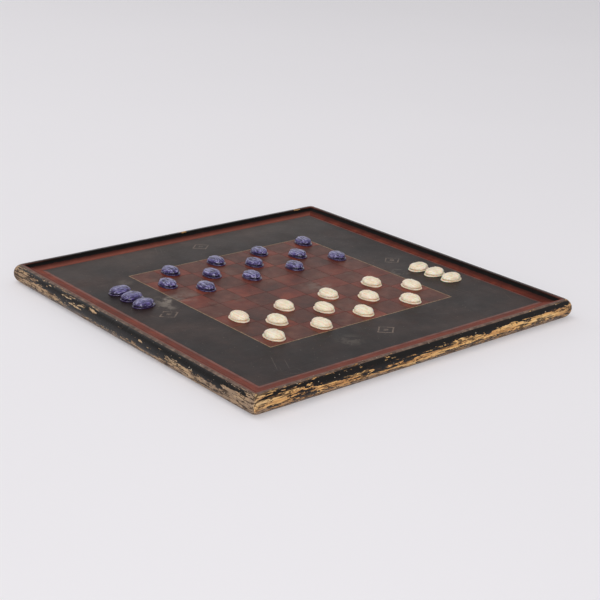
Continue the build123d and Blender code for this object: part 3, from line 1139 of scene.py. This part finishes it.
def carve_and_wear(points, cuts, seed):
    """Carves the back, then gives the piece its own unevenness; gives its attributes back."""
    depth = carved(points[:, 0], points[:, 1]) * smooth(points[:, 2], 4.4, 5.4)
    points[:, 2] -= depth
    # the carved lines are marked for painted shade as well
    cuts = np.maximum(cuts, np.minimum(depth / 0.5, 0.75))
    points[:, 2] -= 0.6 * smooth(points[:, 0], 6.5, 14.0) * smooth(points[:, 2], 5.0, 8.5)
    noise = Noise(seed + 900)
    uneven = noise.fractal(points / 4.2, 3)
    dents = noise.fractal(points / 1.5 + 20, 2)
    streak = noise.fractal(points / np.array([7.0, 1.3, 1.6]) + 40, 3)
    rough = uneven * 0.7 + dents * 0.45 + (1 - streak) * 0.7
    points[:, 2] -= rough * smooth(points[:, 2], 3.0, 6.5)
    points[:, :2] *= 1 - 0.012 * uneven[:, None] * smooth(points[:, 2], 1.5, 4.0)[:, None]
    return {"cut": cuts, "high": smooth(points[:, 2], 1.0, 9.4), "streak": streak}


def place_over(piece, node, heading):
    """Lays the piece over its CAD solid: heading is its head's rough direction in degrees."""
    solid = points_of(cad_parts[node].data)
    centre = (solid.min(axis=0) + solid.max(axis=0)) / 2
    flat = solid[:, :2] - centre[:2]
    values, axes = np.linalg.eigh(flat.T @ flat)
    long_axis = axes[:, int(np.argmax(values))]
    turn = math.atan2(long_axis[1], long_axis[0])
    if math.cos(turn - math.radians(heading)) < 0:
        turn += math.pi
    place = Matrix.Translation((centre[0], centre[1], solid[:, 2].min()))
    piece.data.transform(place @ Matrix.Rotation(turn, 4, "Z"))
    piece.data.update()


def make_beetle(node, heading, material, seed):
    """One sculpted and glazed piece in place of its CAD node."""
    angle = np.linspace(0, 2 * math.pi, AROUND, endpoint=False)
    outline = beetle_outline(angle, np.random.default_rng(seed))
    rings = beetle_rings(outline, angle)
    points, cuts = ring_points(rings, angle)
    attributes = carve_and_wear(points, cuts, seed)
    piece = new_object(f"{node}_carved", points * MM, ring_faces(len(rings)), attributes, 50)
    place_over(piece, node, heading)
    dress(piece, material)
    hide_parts(node)
    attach(piece, node)


# ---- build ----

panel_paint = make_panel_paint()
hidden_wood = make_hidden_wood()
for node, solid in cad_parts.items():
    if node.startswith("plank_"):
        dress(solid, panel_paint)
    elif node.startswith(("spline_", "key_")):
        dress(solid, hidden_wood)
dress(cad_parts["rim_brads"], make_brad_steel())

# the two sides that run along Y have weathered greyer
rim_paint = {"x": make_rim_paint("x", 0.15), "y": make_rim_paint("y", 0.68)}
for node in side_wear:
    make_rim(node, rim_paint["y" if side_turns[node] in (0, 180) else "x"])

glazes = {"indigo": make_indigo(), "cream": make_cream()}
headings = {"indigo": -90, "cream": 90}
SPARE_FROM = 13  # pieces from this number on lie in the margin, heads towards +X
for node in sorted(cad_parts):
    colour, _, number = node.partition("_beetle_")
    if not number:
        continue
    heading = 0 if int(number) >= SPARE_FROM else headings[colour]
    make_beetle(node, heading, glazes[colour], 100 * len(colour) + int(number))

# ---- studio ----


def make_floor():
    """A wide, pale, softly lit table top."""
    half = 40.0
    floor = new_object(
        "studio_floor",
        [(-half, -half, 0), (half, -half, 0), (half, half, 0), (-half, half, 0)],
        [[0, 1, 2, 3]],
    )
    floor.location.z = -0.2 * MM  # just under the board
    g = Graph("studio_floor")
    colour = g.mix(g.noise(1.2, 2.0), (216, 214, 217), (220, 218, 221))
    lit = {"Emission_Color": srgb(250, 248, 252), "Emission_Strength": 0.2}
    floor.data.materials.append(g.finish(colour, 0.75, None, Specular_IOR_Level=0.2, **lit))


def make_area(name, location, size, power):
    """A round soft light that points at the board."""
    data = bpy.data.lights.new(name, "AREA")
    data.shape = "DISK"
    data.size = size
    data.energy = power
    light = bpy.data.objects.new(name, data)
    light.location = location
    light.rotation_euler = (-Vector(location)).to_track_quat("-Z", "Y").to_euler()
    bpy.context.scene.collection.objects.link(light)


def make_world(strength, glow, glow_side, seen_strength):
    """An even white room, brighter round one side; past the table the camera sees a paler wall."""
    world = bpy.data.worlds.new("studio")
    world.use_nodes = True
    nodes = world.node_tree.nodes
    links = world.node_tree.links
    background = nodes["Background"]
    background.inputs[0].default_value = (1.0, 0.99, 1.0, 1.0)
    place = nodes.new("ShaderNodeTexCoord").outputs["Generated"]
    facing = nodes.new("ShaderNodeVectorMath")
    facing.operation = "DOT_PRODUCT"
    links.new(place, facing.inputs[0])
    facing.inputs[1].default_value = Vector(glow_side).normalized()
    spread = nodes.new("ShaderNodeMapRange")
    spread.interpolation_type = "SMOOTHSTEP"
    links.new(facing.outputs["Value"], spread.inputs["Value"])
    spread.inputs["From Min"].default_value = 0.86  # the cosine where the glow starts
    spread.inputs["To Min"].default_value = strength
    spread.inputs["To Max"].default_value = strength + glow
    seen = nodes.new("ShaderNodeMix")
    links.new(nodes.new("ShaderNodeLightPath").outputs["Is Camera Ray"], seen.inputs["Factor"])
    links.new(spread.outputs["Result"], seen.inputs["A"])
    seen.inputs["B"].default_value = seen_strength
    links.new(seen.outputs["Result"], background.inputs[1])
    bpy.context.scene.world = world


def make_camera():
    """The photographer's view: over the front corner, about 20 degrees above the table."""
    data = bpy.data.cameras.new("camera")
    data.sensor_width = 36.0  # mm, as the lens
    data.lens = 78.55
    camera = bpy.data.objects.new("camera", data)
    bpy.context.scene.collection.objects.link(camera)
    location = Vector((-1.0569, -1.2592, 0.6068))
    aim = Vector((-0.0106, -0.0367, 0.012))
    roll = math.radians(2.15)
    look = (aim - location).to_track_quat("-Z", "Y").to_matrix().to_4x4()
    camera.matrix_world = Matrix.Translation(location) @ look @ Matrix.Rotation(roll, 4, "Z")
    bpy.context.scene.camera = camera


make_floor()
make_world(strength=0.51, glow=0.40, glow_side=(0.65, 0.76, 0.0), seen_strength=0.72)
make_area("key_light", (-0.6, 0.9, 3.6), size=2.4, power=26.0)
make_area("fill_light", (-2.4, -3.0, 1.3), size=2.6, power=78.0)
make_area("back_light", (-0.6, 3.6, 1.6), size=2.2, power=12.0)
make_camera()
bpy.context.scene.view_settings.view_transform = "Standard"
